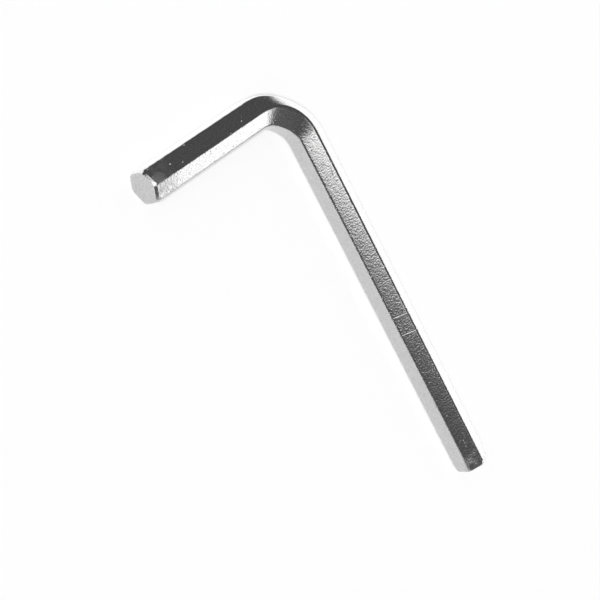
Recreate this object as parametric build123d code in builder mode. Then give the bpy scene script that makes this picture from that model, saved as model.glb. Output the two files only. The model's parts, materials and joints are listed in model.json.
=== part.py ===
from build123d import *
import os
from math import cos, radians

# A bent hexagon key: one steel bar of hexagonal section, cut to length, pointed slightly at
# both tips and bent once through a right angle.
# The key lies as it rests: the plane of the bend is level, X runs along the short arm towards
# its tip, Y runs along the long arm towards its tip, and Z is up.
# One flat faces the outside of the bend and the opposite one the inside, so a rounded corner
# of the section points straight down and carries the key. The origin is the middle of the
# key's footprint, on the surface that it lies on.

# Driving dimensions, in mm
across_flats = 4.0          # size of the hexagon, flat to flat
long_arm = 55.6             # outside of the bend to the far tip
short_arm = 25.8            # outside of the bend to the near tip
inner_bend_radius = 3.6     # radius of the inside flat round the bend
corner_rounding = 0.55      # radius along the six edges of the bar
tip_cut = 0.18              # how far the tip's cone takes the corners in
tip_length = 0.5            # length of that cone, along the bar

# Places that follow from them
half_flats = across_flats / 2
sharp_corner = half_flats / cos(radians(30))
crown = sharp_corner - corner_rounding * (1 / cos(radians(30)) - 1)
bend_radius = inner_bend_radius + half_flats
short_axis_y = half_flats - long_arm / 2
long_axis_x = half_flats - short_arm / 2

bend_corner = Vector(long_axis_x, short_axis_y, crown)
short_end = Vector(short_arm / 2, short_axis_y, crown)
long_end = Vector(long_axis_x, long_arm / 2, crown)

# Planes at the tips: their own x runs into the bar, and their own y runs outwards from its axis
short_tip = Plane(origin=short_end, x_dir=(-1, 0, 0), z_dir=(0, 0, 1))
long_tip = Plane(origin=long_end, x_dir=(0, -1, 0), z_dir=(0, 0, 1))

# The tip's cone passes the end face at cone_radius and meets the rounded corners at the crown
cone_radius = crown - tip_cut
ring_reach = across_flats   # how far the cutting ring stands out past the bar
ring_length = tip_length * (ring_reach - cone_radius) / tip_cut

os.makedirs("parts", exist_ok=True)

with BuildPart() as hex_key:
    with BuildLine() as axis_line:
        FilletPolyline(short_end, bend_corner, long_end, radius=bend_radius)
    with BuildSketch(Plane(origin=short_end, x_dir=(0, 1, 0), z_dir=(-1, 0, 0))) as section:
        RegularPolygon(radius=half_flats, side_count=6, major_radius=False, rotation=30)
        fillet(section.vertices(), radius=corner_rounding)
    sweep()
    for tip in (short_tip, long_tip):
        with BuildSketch(tip):
            with BuildLine():
                Polyline(
                    (-tip_length, cone_radius - tip_cut),
                    (-tip_length, ring_reach),
                    (ring_length, ring_reach),
                    close=True,
                )
            make_face()
        revolve(axis=Axis(tip.origin, tip.x_dir), mode=Mode.SUBTRACT)

hex_key.part.label = "hex_key"
export_step(hex_key.part, "parts/hex_key.step")
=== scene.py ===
"""A bent hexagon key: one plated steel bar, swept along its own line, and a stage to show it on."""
import json
from math import cos, pi, radians, sin

import bpy
from bpy.props import FloatProperty, FloatVectorProperty, IntProperty, PointerProperty
from mathutils import Euler, Matrix, Vector

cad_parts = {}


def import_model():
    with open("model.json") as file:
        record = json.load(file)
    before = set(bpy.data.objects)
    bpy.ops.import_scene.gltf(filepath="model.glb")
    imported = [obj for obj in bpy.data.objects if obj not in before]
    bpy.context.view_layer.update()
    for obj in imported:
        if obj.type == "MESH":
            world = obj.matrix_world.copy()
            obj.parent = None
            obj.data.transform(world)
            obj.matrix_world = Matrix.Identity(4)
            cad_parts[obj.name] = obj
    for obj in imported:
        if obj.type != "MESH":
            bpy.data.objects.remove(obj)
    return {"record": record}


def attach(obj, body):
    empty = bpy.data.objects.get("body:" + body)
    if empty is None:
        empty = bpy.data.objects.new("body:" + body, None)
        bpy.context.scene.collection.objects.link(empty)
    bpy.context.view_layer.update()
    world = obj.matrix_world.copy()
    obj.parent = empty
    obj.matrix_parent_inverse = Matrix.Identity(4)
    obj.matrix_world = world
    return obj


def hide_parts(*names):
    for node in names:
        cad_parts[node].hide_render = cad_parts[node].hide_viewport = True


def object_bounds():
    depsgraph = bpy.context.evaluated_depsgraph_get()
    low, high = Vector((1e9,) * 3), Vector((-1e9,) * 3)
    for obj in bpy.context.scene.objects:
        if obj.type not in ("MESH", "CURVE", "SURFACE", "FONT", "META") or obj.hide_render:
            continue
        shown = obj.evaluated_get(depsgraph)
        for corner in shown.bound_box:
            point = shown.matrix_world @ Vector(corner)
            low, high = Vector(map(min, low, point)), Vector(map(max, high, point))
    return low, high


bl_info = {
    "name": "Hexagon key",
    "version": (1, 0, 0),
    "blender": (4, 5, 0),
    "location": "View3D > Sidebar > Hexagon key",
    "description": "Builds a bent hexagon key with its plated finish, and a stage to show it on",
    "category": "Object",
}

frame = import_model()
cad_low, cad_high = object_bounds()
MOUNTS = {mount["name"]: Vector(mount["pos_m"]) for mount in frame["record"]["mounts"]}
SHORT_END = MOUNTS["short_tip"]
LONG_END = MOUNTS["long_tip"]
BEND_CORNER = Vector((LONG_END.x, SHORT_END.y, SHORT_END.z))

# The section, read from the frame: a flat faces out of the bend and a rounded corner faces down
COS_30 = cos(radians(30))
HALF_FLATS = SHORT_END.y - cad_low[1]
SHARP_CORNER = HALF_FLATS / COS_30
CROWN = SHORT_END.z - cad_low[2]
CORNER_ROUNDING = (SHARP_CORNER - CROWN) / (1 / COS_30 - 1)

MM = 0.001

# How finely the bar is meshed, how far the bend fades into the arms, and which edges are broken
BEND_STEPS = 96
CORNER_STEPS = 8
CROWDING = 0.9
BEND_FADE = 1.0 * MM
RIM_SEGMENTS = 3
RIM_ANGLE = radians(50)

# Patterns in the plating
PIT_SHARE = 0.15
PIT_EDGE = 0.22
PIT_FLOOR = 0.05
PATCH_SIZE = 1.3 * MM
PATCH_FADE = (0.35, 0.55)
SHORT_WEAR = 5.0 * MM
LONG_WEAR = 3.0 * MM
FULL_WEAR = 0.5 * MM
SPOT_SIZE = 0.16 * MM
SPOT_SHIFT = (1.0, 2.0, 3.0)
SCRATCHES = (3.4 * MM, 5.9 * MM)
SCRATCH_SLANT = 0.15
SCRATCH_EDGE = 0.09 * MM
SCRATCH_FLOOR = 0.02 * MM

# The stage round the key
TABLE_HALF = 3.0
DOME_RADIUS = 0.7
DOME_STEPS = 96
DOME_ROWS = 48
CARD_REACH = 0.12
CARD_GAP = 0.05 * MM
CARD_LEVEL = 0.02 * MM
LAMP_ANGLE = radians(10)

# What the metal shows, by direction from the key: a pair says where a change starts and ends
WALL_RISE = (-0.15, 0.6)
WALL_LOW = -0.03
WALL_HEIGHT = 0.63
WALL_EDGE = 0.06
OPENING_X = (-0.57, -0.4)
OPENING_Y = (0.4, 0.6)
DULL_X = (0.0, 0.5)
DULL_BY = 0.45
SOFTBOX_SLANT = 0.25
SOFTBOX_STOPS = ((0.24, 1.0), (0.275, 0.34), (0.315, 0.2), (0.355, 0.11), (0.4, 0.055),
                 (0.44, 0.015), (0.475, 0.0))
SOFTBOX_NEAR = (-0.2, 0.0)
SOFTBOX_FAR = (0.52, 0.4)
SOFTBOX_Z = (0.55, 0.65)
CLOTH_Y = (0.45, 0.7)
CLOTH_LIGHTER = 0.45


# ---------------------------------------------------------------- sizes and colours

class HexKeySettings(bpy.types.PropertyGroup):
    """Sizes of the bar and look of its plating"""

    across_flats: FloatProperty(
        name="Across flats", description="Size of the hexagon, flat to flat",
        default=2 * HALF_FLATS, unit="LENGTH", precision=5)
    corner_rounding: FloatProperty(
        name="Edge rounding", description="Radius along the six edges of the bar",
        default=CORNER_ROUNDING, unit="LENGTH", precision=5)
    inner_bend_radius: FloatProperty(
        name="Inner bend radius", description="Radius of the inside flat round the bend",
        default=3.6 * MM, unit="LENGTH", precision=5)
    outer_thinning: FloatProperty(
        name="Outer thinning",
        description="How far the outside flat is drawn in at the middle of the bend",
        default=0.7 * MM, unit="LENGTH", precision=5)
    inner_swelling: FloatProperty(
        name="Inner swelling",
        description="How far the inside flat swells at the middle of the bend",
        default=0.35 * MM, unit="LENGTH", precision=5)
    tip_cut: FloatProperty(
        name="Tip cut", description="How far the cone at the tip takes the corners in",
        default=0.18 * MM, unit="LENGTH", precision=5)
    tip_length: FloatProperty(
        name="Tip length", description="Length of the cone at the tip, along the bar",
        default=0.5 * MM, unit="LENGTH", precision=5)
    rim_break: FloatProperty(
        name="Rim break", description="Width of the broken edge round each end face",
        default=0.16 * MM, unit="LENGTH", precision=6)
    rings: IntProperty(
        name="Rings", description="Rings of the mesh along the bar", default=700, min=50)
    plating: FloatVectorProperty(
        name="Plating", description="Colour of the bright plating",
        default=(0.58, 0.58, 0.58), subtype="COLOR")
    roughness: FloatProperty(
        name="Roughness", description="Roughness of the plating", default=0.1, min=0.0, max=1.0)
    peel_size: FloatProperty(
        name="Peel size", description="Typical width of the ripples in the plating",
        default=0.22 * MM, unit="LENGTH", precision=5)
    peel_depth: FloatProperty(
        name="Peel depth", description="Height of those ripples",
        default=0.026 * MM, unit="LENGTH", precision=6)
    wave_size: FloatProperty(
        name="Wave size", description="Typical width of the long waves in the flats",
        default=1.6 * MM, unit="LENGTH", precision=5)
    wave_depth: FloatProperty(
        name="Wave depth", description="Height of those waves",
        default=0.006 * MM, unit="LENGTH", precision=6)
    pit_spacing: FloatProperty(
        name="Pit spacing", description="Typical distance between the pits in the plating",
        default=0.45 * MM, unit="LENGTH", precision=5)
    pit_depth: FloatProperty(
        name="Pit depth", description="Depth of those pits",
        default=0.045 * MM, unit="LENGTH", precision=6)
    mottle: FloatProperty(
        name="Mottle", description="How much the fine spots in the plating differ in brightness",
        default=0.3, min=0.0, max=1.0)
    wear: FloatProperty(
        name="Wear", description="Extra roughness where the tips have been used",
        default=0.25, min=0.0, max=1.0)
    scratch_depth: FloatProperty(
        name="Scratch depth", description="Depth of the two scratches across the long arm",
        default=0.012 * MM, unit="LENGTH", precision=6)


class StageSettings(bpy.types.PropertyGroup):
    """The table, the lamp, what the metal shows, and the camera"""

    table_colour: FloatVectorProperty(
        name="Table", description="Colour of the table top",
        default=(0.9, 0.9, 0.9), subtype="COLOR")
    ambient: FloatProperty(
        name="Ambient", description="Strength of the even light from all round", default=0.3)
    lamp: FloatProperty(
        name="Lamp", description="Strength of the lamp, as it lights the table", default=0.8)
    lamp_azimuth: FloatProperty(
        name="Lamp azimuth", description="Direction of the lamp round the key",
        default=radians(76), subtype="ANGLE")
    white_walls: FloatProperty(
        name="White walls", description="Brightness of the walls and the softbox in the metal",
        default=1.8)
    dark_grey: FloatProperty(
        name="Dark grey", description="Brightness of the dark cloth in the metal", default=0.108)
    white_card: FloatProperty(
        name="White card", description="Brightness of the card beside the key in the metal",
        default=1.6)
    azimuth: FloatProperty(
        name="Azimuth", description="Direction of the camera round the key",
        default=radians(64.3), subtype="ANGLE")
    elevation: FloatProperty(
        name="Elevation", description="Height of the camera above the table",
        default=radians(51.3), subtype="ANGLE")
    roll: FloatProperty(
        name="Roll", description="Turn of the camera about its own line of sight",
        default=radians(-82.75), subtype="ANGLE")
    distance: FloatProperty(
        name="Distance", description="From the camera to the point that it looks at",
        default=0.1758, unit="LENGTH")
    field_of_view: FloatProperty(
        name="Field of view", description="Angle that the camera takes in",
        default=radians(23.05), subtype="ANGLE")
    aim: FloatVectorProperty(
        name="Aim", description="Point that the camera looks at",
        default=(0.14 * MM, -3.78 * MM, 0.82 * MM), subtype="XYZ", unit="LENGTH")


# ---------------------------------------------------------------- node helpers

class Nodes:
    """Adds nodes to a tree and joins them, so that a formula reads as one"""

    def __init__(self, tree):
        self.tree = tree

    def add(self, kind, values=(), **settings):
        node = self.tree.nodes.new(kind)
        for name, value in settings.items():
            setattr(node, name, value)
        for name, value in dict(values).items():
            self.set(node.inputs[name], value)
        return node

    def set(self, socket, value):
        if isinstance(value, bpy.types.NodeSocket):
            self.tree.links.new(value, socket)
        else:
            socket.default_value = value

    def combine(self, kind, operation, values):
        node = self.add(kind, operation=operation)
        for socket, value in zip(node.inputs, values):
            self.set(socket, value)
        return node

    def math(self, operation, *values):
        return self.combine("ShaderNodeMath", operation, values).outputs[0]

    def vector(self, operation, *values):
        return self.combine("ShaderNodeVectorMath", operation, values)

    def split(self, vector):
        return self.add("ShaderNodeSeparateXYZ", values={"Vector": vector}).outputs

    def keep(self, geometry, name, kind, value):
        """Writes a value on every point, to be read again after the sweep"""
        node = self.add("GeometryNodeStoreNamedAttribute", data_type=kind, domain="POINT",
                        values={"Geometry": geometry, "Name": name, "Value": value})
        return node.outputs[0]

    def kept(self, name, kind):
        node = self.add("GeometryNodeInputNamedAttribute", data_type=kind, values={"Name": name})
        return node.outputs[0]

    def fade(self, value, start, end):
        """0 as far as the start, 1 past the end and smooth between them"""
        node = self.add("ShaderNodeMapRange", interpolation_type="SMOOTHSTEP",
                        values={"Value": value, "From Min": start, "From Max": end})
        return node.outputs["Result"]

    def noise(self, place, size, detail, roughness):
        """Smooth noise from 0 to 1, with features of the given size"""
        node = self.add("ShaderNodeTexNoise", values={"Vector": place, "Scale": 1 / size,
                                                      "Detail": detail, "Roughness": roughness})
        return node.outputs[0]

    def scaled(self, vector, factor):
        node = self.add("ShaderNodeVectorMath", operation="SCALE")
        self.set(node.inputs[0], vector)
        self.set(node.inputs["Scale"], factor)
        return node.outputs[0]


def add_socket(tree, name, kind, in_out="INPUT"):
    tree.interface.new_socket(name=name, in_out=in_out, socket_type=kind)


def empty_material(name):
    """A new material and the helper for its empty tree"""
    material = bpy.data.materials.new(name)
    material.use_nodes = True
    material.node_tree.nodes.clear()
    return material, Nodes(material.node_tree)


# ---------------------------------------------------------------- the bar's shape

def bar_tree():
    """Sweeps a rounded hexagon along the curve it is given, bends it, and points both tips"""
    tree = bpy.data.node_groups.new("bent_hexagon_bar", "GeometryNodeTree")
    tree.is_modifier = True
    add_socket(tree, "Curve", "NodeSocketGeometry")
    for name in ("Across Flats", "Edge Rounding", "Bend Radius", "Bend Middle", "Outer Thinning",
                 "Inner Swelling", "Cone Radius", "Cone Slope"):
        add_socket(tree, name, "NodeSocketFloat")
    add_socket(tree, "Rings", "NodeSocketInt")
    add_socket(tree, "Plating", "NodeSocketMaterial")
    add_socket(tree, "Mesh", "NodeSocketGeometry", in_out="OUTPUT")
    n = Nodes(tree)
    given = n.add("NodeGroupInput").outputs

    # The line of the bar: two straight arms and one arc between them
    bent = n.add("GeometryNodeFilletCurve", mode="POLY",
                 values={"Curve": given["Curve"], "Count": BEND_STEPS,
                         "Radius": given["Bend Radius"]})
    even = n.add("GeometryNodeResampleCurve", mode="COUNT",
                 values={"Curve": bent.outputs[0], "Count": given["Rings"]})

    # The rings stand closer together towards the tips
    share = n.add("GeometryNodeSplineParameter").outputs["Factor"]
    wave = n.math("SINE", n.math("MULTIPLY", share, 2 * pi))
    crowded = n.math("MULTIPLY_ADD", wave, -CROWDING / (2 * pi), share)
    sample = n.add("GeometryNodeSampleCurve", mode="FACTOR",
                   values={"Curves": bent.outputs[0], "Factor": crowded})
    line = n.add("GeometryNodeSetPosition",
                 values={"Geometry": even.outputs[0], "Position": sample.outputs["Position"]})
    level = n.add("GeometryNodeSetCurveNormal", mode="Z_UP", values={"Curve": line.outputs[0]})
    where = n.add("GeometryNodeInputPosition").outputs[0]
    along = n.add("GeometryNodeSplineParameter").outputs["Length"]
    whole = n.add("GeometryNodeSplineLength").outputs["Length"]
    from_tip = n.math("MINIMUM", along, n.math("SUBTRACT", whole, along))
    half_arc = n.math("MULTIPLY", given["Bend Radius"], pi / 4)
    off_middle = n.math("ABSOLUTE", n.math("SUBTRACT", along, given["Bend Middle"]))
    bending = n.fade(off_middle, n.math("ADD", half_arc, BEND_FADE), 0.0)
    marked = n.keep(level.outputs[0], "axis_point", "FLOAT_VECTOR", where)
    marked = n.keep(marked, "from_tip", "FLOAT", from_tip)
    marked = n.keep(marked, "bending", "FLOAT", bending)

    # The section: a hexagon with rounded corners
    radius = n.math("DIVIDE", given["Across Flats"], 2 * COS_30)
    hexagon = n.add("GeometryNodeCurvePrimitiveCircle", mode="RADIUS",
                    values={"Resolution": 6, "Radius": radius})
    turned = n.add("GeometryNodeTransform",
                   values={"Geometry": hexagon.outputs[0], "Rotation": (0, 0, radians(30))})
    rounded = n.add("GeometryNodeFilletCurve", mode="POLY",
                    values={"Curve": turned.outputs[0], "Count": CORNER_STEPS,
                            "Radius": given["Edge Rounding"]})
    bar = n.add("GeometryNodeCurveToMesh",
                values={"Curve": marked, "Profile Curve": rounded.outputs[0], "Fill Caps": True})

    # The bend: the outside is drawn in and the inside swells, most at the middle of the arc
    centre = n.kept("axis_point", "FLOAT_VECTOR")
    out = n.vector("SUBTRACT", n.add("GeometryNodeInputPosition").outputs[0], centre).outputs[0]
    x, y, z = n.split(out)
    outside = n.math("LESS_THAN", n.math("ADD", x, y), 0.0)
    change = n.add("ShaderNodeMix", data_type="FLOAT",
                   values={"Factor": outside, "A": given["Inner Swelling"],
                           "B": n.math("MULTIPLY", given["Outer Thinning"], -1.0)}).outputs[0]
    relative = n.math("DIVIDE", change, n.math("DIVIDE", given["Across Flats"], 2.0))
    widen = n.math("MULTIPLY_ADD", relative, n.kept("bending", "FLOAT"), 1.0)
    out = n.add("ShaderNodeCombineXYZ",
                values={"X": n.math("MULTIPLY", x, widen), "Y": n.math("MULTIPLY", y, widen),
                        "Z": z}).outputs[0]

    # The tips: nothing stands outside a cone that narrows towards each end
    reach = n.vector("LENGTH", out).outputs["Value"]
    distance = n.kept("from_tip", "FLOAT")
    cone = n.math("MULTIPLY_ADD", distance, given["Cone Slope"], given["Cone Radius"])
    factor = n.math("MINIMUM", 1.0, n.math("DIVIDE", cone, reach))
    cut = n.add("GeometryNodeSetPosition",
                values={"Geometry": bar.outputs[0],
                        "Position": n.vector("ADD", centre, n.scaled(out, factor)).outputs[0]})
    clean = cut.outputs[0]
    for name in ("axis_point", "from_tip", "bending"):
        clean = n.add("GeometryNodeRemoveAttribute",
                      values={"Geometry": clean, "Name": name}).outputs[0]
    smooth = n.add("GeometryNodeSetShadeSmooth", values={"Geometry": clean})
    real = n.add("GeometryNodeRealizeInstances", values={"Geometry": smooth.outputs[0]})
    plated = n.add("GeometryNodeSetMaterial",
                   values={"Geometry": real.outputs[0], "Material": given["Plating"]})
    n.add("NodeGroupOutput", values={"Mesh": plated.outputs[0]})
    return tree


def bar_line():
    """The corner line of the bar, from the short tip by the bend to the long tip"""
    curve = bpy.data.curves.new("bar_line", "CURVE")
    curve.dimensions = "3D"
    spline = curve.splines.new("POLY")
    spline.points.add(2)
    for point, place in zip(spline.points, (SHORT_END, BEND_CORNER, LONG_END)):
        point.co = (*place, 1.0)
    line = bpy.data.objects.new("bar_line", curve)
    bpy.context.scene.collection.objects.link(line)
    return line


def build_bar(sizes):
    """The finished bar as one plain mesh, with a broken edge round each end face"""
    line = bar_line()
    tree = bar_tree()
    modifier = line.modifiers.new("bar", "NODES")
    modifier.node_group = tree
    bend_radius = sizes.inner_bend_radius + sizes.across_flats / 2
    cone_radius = CROWN - sizes.tip_cut
    inputs = {
        "Across Flats": sizes.across_flats,
        "Edge Rounding": sizes.corner_rounding,
        "Bend Radius": bend_radius,
        "Bend Middle": (SHORT_END - BEND_CORNER).length - bend_radius * (1 - pi / 4),
        "Outer Thinning": sizes.outer_thinning,
        "Inner Swelling": sizes.inner_swelling,
        "Cone Radius": cone_radius,
        "Cone Slope": sizes.tip_cut / sizes.tip_length,
        "Rings": sizes.rings,
        "Plating": plated_steel(sizes),
    }
    for socket in tree.interface.items_tree:
        if socket.name in inputs:
            modifier[socket.identifier] = inputs[socket.name]
    shaped = line.evaluated_get(bpy.context.evaluated_depsgraph_get())
    mesh = bpy.data.meshes.new_from_object(shaped)
    bpy.data.objects.remove(line)
    mesh.name = "hex_key_bar"
    bar = bpy.data.objects.new("hex_key_bar", mesh)
    bpy.context.scene.collection.objects.link(bar)

    rim = bar.modifiers.new("rim", "BEVEL")
    rim.width = sizes.rim_break
    rim.segments = RIM_SEGMENTS
    rim.limit_method = "ANGLE"
    rim.angle_limit = RIM_ANGLE
    rim.harden_normals = True
    even = bar.modifiers.new("even", "WEIGHTED_NORMAL")
    even.keep_sharp = True
    finished = bpy.data.meshes.new_from_object(
        bar.evaluated_get(bpy.context.evaluated_depsgraph_get()))
    bar.modifiers.remove(even)
    bar.modifiers.remove(rim)
    bar.data = finished
    finished.name = "hex_key_bar"
    return bar


# ---------------------------------------------------------------- the plating

def plated_steel(sizes):
    """Bright plating over drawn steel, rippled and lightly pitted"""
    material, n = empty_material("plated_steel")
    place = n.add("ShaderNodeTexCoord").outputs["Object"]
    x, y, _ = n.split(place)
    peel = n.noise(place, sizes.peel_size, 2.0, 0.6)
    wave = n.noise(place, sizes.wave_size, 0.0, 0.5)

    # Use has dulled and roughened patches near both tips
    patch = n.fade(n.noise(place, PATCH_SIZE, 1.0, 0.5), *PATCH_FADE)
    by_short_tip = n.fade(x, SHORT_END.x - SHORT_WEAR, SHORT_END.x - FULL_WEAR)
    by_long_tip = n.fade(y, LONG_END.y - LONG_WEAR, LONG_END.y - FULL_WEAR)
    worn = n.math("MULTIPLY", patch, n.math("MAXIMUM", by_short_tip, by_long_tip))

    # Pits: a few cells of a Voronoi pattern each hold one
    pits = n.add("ShaderNodeTexVoronoi", feature="F1",
                 values={"Vector": place, "Scale": 1 / sizes.pit_spacing})
    chance = n.add("ShaderNodeSeparateColor", values={"Color": pits.outputs["Color"]}).outputs[0]
    chosen = n.math("GREATER_THAN", chance, 1.0 - PIT_SHARE)
    pit = n.math("MULTIPLY", n.fade(pits.outputs["Distance"], PIT_EDGE, PIT_FLOOR), chosen)

    # Scratches across the long arm
    scratched = 0.0
    slanted = n.math("MULTIPLY_ADD", x, SCRATCH_SLANT, y)
    for middle in SCRATCHES:
        off_scratch = n.math("ABSOLUTE", n.math("SUBTRACT", slanted, middle))
        scratched = n.math("ADD", scratched, n.fade(off_scratch, SCRATCH_EDGE, SCRATCH_FLOOR))

    depth = n.math("MULTIPLY_ADD", worn, sizes.peel_depth, sizes.peel_depth)
    height = n.math("MULTIPLY", peel, depth)
    height = n.math("MULTIPLY_ADD", wave, sizes.wave_depth, height)
    height = n.math("MULTIPLY_ADD", pit, -sizes.pit_depth, height)
    height = n.math("MULTIPLY_ADD", scratched, -sizes.scratch_depth, height)
    bump = n.add("ShaderNodeBump", values={"Strength": 1.0, "Distance": 1.0, "Height": height})

    spots = n.noise(n.vector("ADD", place, SPOT_SHIFT).outputs[0], SPOT_SIZE, 1.0, 0.5)
    spots = n.math("MULTIPLY_ADD", spots, 2 * sizes.mottle, 1.0 - sizes.mottle)
    tint = n.scaled(tuple(sizes.plating), spots)
    dullness = n.math("MULTIPLY_ADD", worn, sizes.wear, sizes.roughness)
    shader = n.add("ShaderNodeBsdfPrincipled",
                   values={"Base Color": tint, "Metallic": 1.0, "Roughness": dullness,
                           "Normal": bump.outputs[0]})
    n.add("ShaderNodeOutputMaterial", values={"Surface": shader.outputs[0]})
    return material


# ---------------------------------------------------------------- the stage

def emission(name, level):
    material, n = empty_material(name)
    glow = n.add("ShaderNodeEmission",
                 values={"Color": (level, level, level, 1.0), "Strength": 1.0})
    n.add("ShaderNodeOutputMaterial", values={"Surface": glow.outputs[0]})
    return material


def only_in_reflections(thing):
    """The metal shows it, and nothing else is lit, shaded or hidden by it"""
    thing.visible_camera = False
    thing.visible_diffuse = False
    thing.visible_transmission = False
    thing.visible_volume_scatter = False
    thing.visible_shadow = False


def stage_mesh(name, points, faces, material):
    mesh = bpy.data.meshes.new(name)
    mesh.from_pydata(points, [], faces)
    mesh.materials.append(material)
    thing = bpy.data.objects.new(name, mesh)
    bpy.context.scene.collection.objects.link(thing)
    return thing


def table(stage):
    material = bpy.data.materials.new("table_top")
    material.use_nodes = True
    shader = material.node_tree.nodes["Principled BSDF"]
    shader.inputs["Base Color"].default_value = (*stage.table_colour, 1.0)
    shader.inputs["Roughness"].default_value = 0.9
    shader.inputs["Specular IOR Level"].default_value = 0.0
    half = TABLE_HALF
    corners = [(-half, -half, 0), (half, -half, 0), (half, half, 0), (-half, half, 0)]
    stage_mesh("table_top", corners, [(0, 1, 2, 3)], material)


def surroundings(stage):
    """White walls low down, dark cloth above them, and a softbox overhead"""
    material, n = empty_material("surroundings")
    place = n.add("ShaderNodeTexCoord").outputs["Object"]
    x, y, z = n.split(n.vector("NORMALIZE", place).outputs[0])

    # The walls: they rise towards +Y but are open there except on the -X side, and dull towards +X
    top = n.math("MULTIPLY_ADD", n.fade(y, *WALL_RISE), WALL_HEIGHT, WALL_LOW)
    walls = n.fade(n.math("SUBTRACT", z, top), WALL_EDGE, -WALL_EDGE)
    opening = n.math("MULTIPLY", n.fade(x, *OPENING_X), n.fade(y, *OPENING_Y))
    walls = n.math("MULTIPLY", walls, n.math("SUBTRACT", 1.0, opening))
    dull = n.math("MULTIPLY_ADD", n.fade(x, *DULL_X), -DULL_BY, 1.0)
    walls = n.math("MULTIPLY", walls, dull)

    # The softbox: it fades out towards +Y
    slant = n.math("MULTIPLY_ADD", x, SOFTBOX_SLANT, y)
    ramp = n.add("ShaderNodeValToRGB", values={"Fac": slant})
    elements = ramp.color_ramp.elements
    while len(elements) < len(SOFTBOX_STOPS):
        elements.new(0.5)
    for element, (position, level) in zip(elements, SOFTBOX_STOPS):
        element.position = position
        element.color = (level, level, level, 1.0)
    sides = n.math("MULTIPLY", n.fade(x, *SOFTBOX_NEAR), n.fade(x, *SOFTBOX_FAR))
    softbox = n.math("MULTIPLY", ramp.outputs[0], sides)
    softbox = n.math("MULTIPLY", softbox, n.fade(z, *SOFTBOX_Z))
    light = n.math("MAXIMUM", walls, softbox)

    # The cloth is a little lighter towards +Y
    cloth = n.math("MULTIPLY_ADD", n.fade(y, *CLOTH_Y), CLOTH_LIGHTER * stage.dark_grey,
                   stage.dark_grey)
    level = n.math("MULTIPLY_ADD", light, stage.white_walls - stage.dark_grey, cloth)
    glow = n.add("ShaderNodeEmission", values={"Color": (1, 1, 1, 1), "Strength": level})
    n.add("ShaderNodeOutputMaterial", values={"Surface": glow.outputs[0]})
    return material


def dome(stage):
    """All that the metal shows above the table"""
    steps = DOME_STEPS
    points = []
    for row in range(DOME_ROWS):
        rise = pi / 2 * row / DOME_ROWS
        out = DOME_RADIUS * cos(rise)
        for step in range(steps):
            turn = 2 * pi * step / steps
            points.append((out * cos(turn), out * sin(turn), DOME_RADIUS * sin(rise)))
    points.append((0.0, 0.0, DOME_RADIUS))
    faces = []
    for row in range(DOME_ROWS):
        for step in range(steps):
            near = row * steps + step
            after = row * steps + (step + 1) % steps
            if row == DOME_ROWS - 1:
                faces.append((near, after, len(points) - 1))
            else:
                faces.append((near, after, after + steps, near + steps))
    only_in_reflections(stage_mesh("dome", points, faces, surroundings(stage)))


def card(stage):
    """A white card that lies along the outside of the bend"""
    near_x = cad_low[0] - CARD_GAP
    near_y = cad_low[1] - CARD_GAP
    far = CARD_REACH
    outline = ((-far, -far), (far, -far), (far, near_y),
               (near_x, near_y), (near_x, far), (-far, far))
    points = [(x, y, CARD_LEVEL) for x, y in outline]
    faces = [(0, 1, 2, 3), (0, 3, 4, 5)]
    white = emission("white_card", stage.white_card)
    only_in_reflections(stage_mesh("white_card", points, faces, white))


def lamp(stage):
    """A lamp on the side of the short tip, as high as the camera, which the metal doesn't show"""
    light = bpy.data.lights.new("lamp", "SUN")
    light.energy = stage.lamp * pi / sin(stage.elevation)
    light.angle = LAMP_ANGLE
    holder = bpy.data.objects.new("lamp", light)
    holder.rotation_euler = (pi / 2 - stage.elevation, 0, stage.lamp_azimuth)
    holder.visible_glossy = False
    bpy.context.scene.collection.objects.link(holder)


def world(stage):
    """Even light all round, which the camera and the metal see as plain white"""
    sky = bpy.data.worlds.new("white_room")
    sky.use_nodes = True
    sky.node_tree.nodes.clear()
    n = Nodes(sky.node_tree)
    path = n.add("ShaderNodeLightPath").outputs
    seen = n.math("MAXIMUM", n.math("MAXIMUM", path["Is Camera Ray"], path["Is Glossy Ray"]),
                  path["Is Transmission Ray"])
    plain = n.add("ShaderNodeBackground", values={"Color": (1, 1, 1, 1), "Strength": 1.0})
    fill = n.add("ShaderNodeBackground", values={"Color": (1, 1, 1, 1), "Strength": stage.ambient})
    both = n.add("ShaderNodeMixShader", values={"Fac": seen})
    n.set(both.inputs[1], fill.outputs[0])
    n.set(both.inputs[2], plain.outputs[0])
    n.add("ShaderNodeOutputWorld", values={"Surface": both.outputs[0]})
    bpy.context.scene.world = sky


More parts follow.
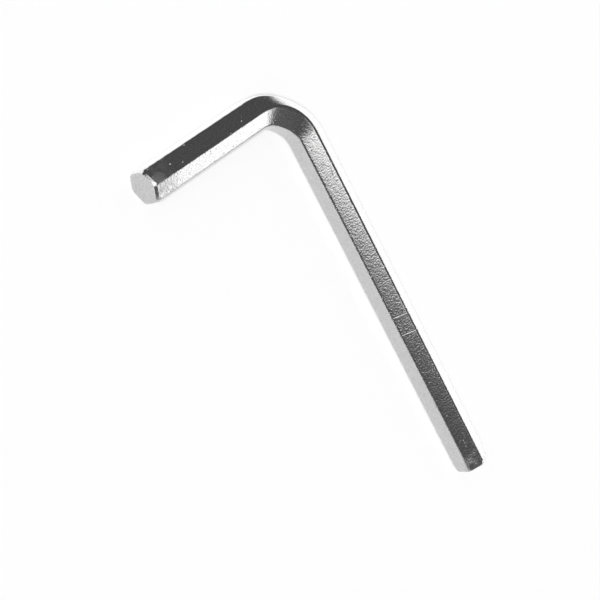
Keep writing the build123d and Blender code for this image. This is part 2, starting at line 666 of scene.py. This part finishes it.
def camera(stage):
    data = bpy.data.cameras.new("camera")
    data.sensor_fit = "HORIZONTAL"
    data.angle = stage.field_of_view
    data.clip_start = 0.01
    data.clip_end = 20
    towards = Vector((sin(stage.azimuth) * cos(stage.elevation),
                      -cos(stage.azimuth) * cos(stage.elevation),
                      sin(stage.elevation)))
    upright = Euler((pi / 2 - stage.elevation, 0, stage.azimuth)).to_matrix()
    rolled = upright @ Matrix.Rotation(-stage.roll, 3, "Z")
    holder = bpy.data.objects.new("camera", data)
    place = Vector(stage.aim) + stage.distance * towards
    holder.matrix_world = Matrix.Translation(place) @ rolled.to_4x4()
    bpy.context.scene.collection.objects.link(holder)
    bpy.context.scene.camera = holder


# ---------------------------------------------------------------- operators and panel

class HEXKEY_OT_stage(bpy.types.Operator):
    """Sets up the table, the lamp, the surroundings and the camera"""

    bl_idname = "hexkey.stage"
    bl_label = "Stage"

    def execute(self, context):
        stage = context.scene.hexkey_stage
        table(stage)
        dome(stage)
        card(stage)
        lamp(stage)
        world(stage)
        camera(stage)
        context.scene.view_settings.view_transform = "Standard"
        return {"FINISHED"}


class HEXKEY_OT_bar(bpy.types.Operator):
    """Builds the bent bar with its plating"""

    bl_idname = "hexkey.bar"
    bl_label = "Bar"

    def execute(self, context):
        bar = build_bar(context.scene.hexkey_sizes)
        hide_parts("hex_key")
        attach(bar, "root")
        return {"FINISHED"}


class HEXKEY_PT_panel(bpy.types.Panel):
    """Lists the steps and their sizes"""

    bl_label = "Hexagon key"
    bl_idname = "HEXKEY_PT_panel"
    bl_space_type = "VIEW_3D"
    bl_region_type = "UI"
    bl_category = "Hexagon key"

    def draw(self, context):
        for operator, settings in (("hexkey.stage", context.scene.hexkey_stage),
                                   ("hexkey.bar", context.scene.hexkey_sizes)):
            box = self.layout.box()
            box.operator(operator)
            for name in settings.bl_rna.properties.keys():
                if name not in ("rna_type", "name"):
                    box.prop(settings, name)


CLASSES = (HexKeySettings, StageSettings, HEXKEY_OT_stage, HEXKEY_OT_bar, HEXKEY_PT_panel)


def register():
    for made in CLASSES:
        bpy.utils.register_class(made)
    bpy.types.Scene.hexkey_sizes = PointerProperty(type=HexKeySettings)
    bpy.types.Scene.hexkey_stage = PointerProperty(type=StageSettings)


def unregister():
    del bpy.types.Scene.hexkey_stage
    del bpy.types.Scene.hexkey_sizes
    for made in reversed(CLASSES):
        bpy.utils.unregister_class(made)


def main():
    register()
    bpy.ops.hexkey.stage()
    bpy.ops.hexkey.bar()


if __name__ == "__main__":
    main()
